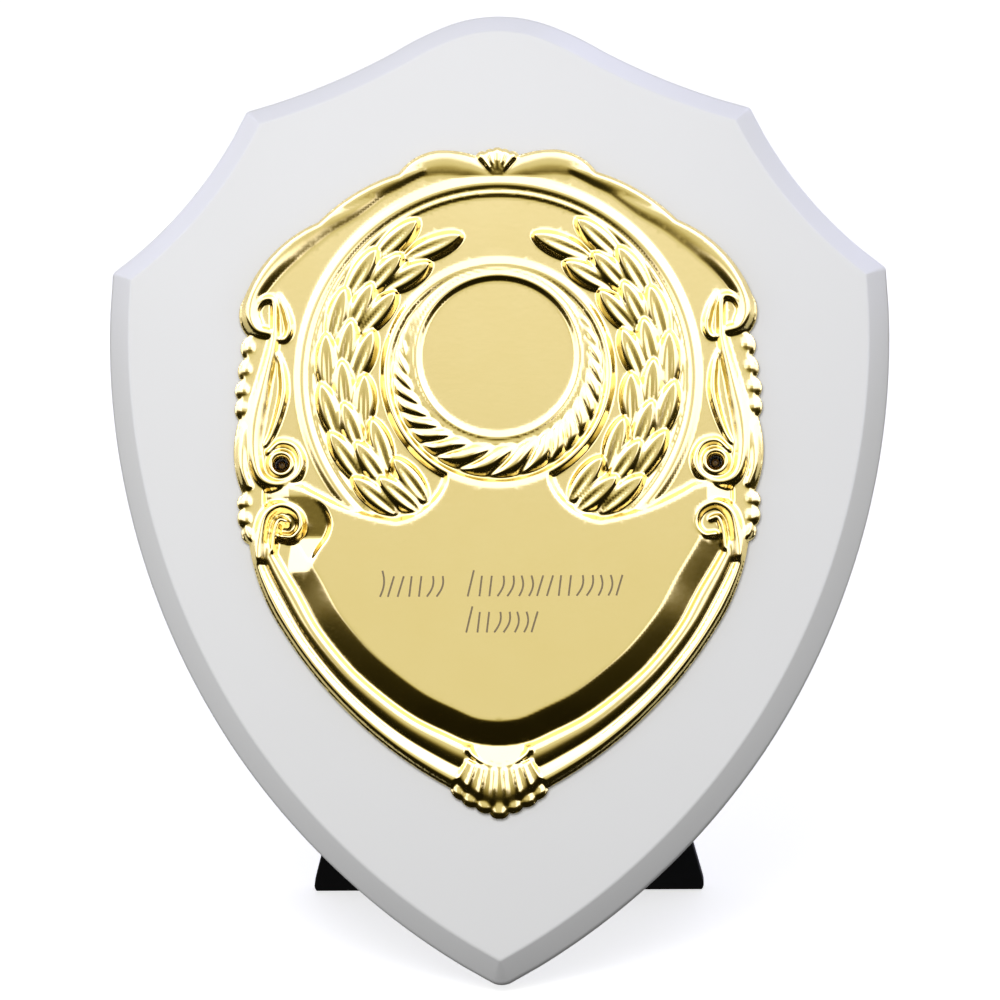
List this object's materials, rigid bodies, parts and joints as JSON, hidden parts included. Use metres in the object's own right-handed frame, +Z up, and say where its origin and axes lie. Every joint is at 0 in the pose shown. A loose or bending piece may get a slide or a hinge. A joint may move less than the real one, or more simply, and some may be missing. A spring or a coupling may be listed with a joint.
{
  "type": "award shield plaque",
  "caption": "White bevelled shield plaque with a pressed gold laurel front, a plain centre disc and an engraving field, standing on a folding black easel strut.",
  "frame": {"origin": "centre of the bounding box on the floor the plaque stands on", "axes": "+Z up; the plaque faces -Y and leans back 20 degrees; +X is the viewer's right"},
  "size_m": [0.1262, 0.0636, 0.1497],
  "materials": {
    "white_paint": "fibreboard sprayed with smooth semi-gloss white paint",
    "pale_gold": "bright pressed sheet with a pale gold lacquer",
    "brass_pins": "small bright domed pins",
    "black_plastic": "moulded black plastic with a fine matt grain",
    "plated_steel": "bright zinc plating"
  },
  "bodies": {
    "plaque": {"shield_board": "white_paint", "gold_front": "pale_gold", "left_fixing_pin": "brass_pins", "right_fixing_pin": "brass_pins", "hinge_plate": "black_plastic", "hinge_pin": "plated_steel", "left_hinge_screw": "plated_steel", "right_hinge_screw": "plated_steel"},
    "strut": {"easel_strut": "black_plastic"}
  },
  "joints": [
    {"name": "strut_hinge", "type": "hinge", "parent": "plaque", "child": "strut", "pos_m": [0, 0.01491, 0.08703], "axis": [1, 0, 0], "range_deg": [-28.5, 0]}
  ]
}
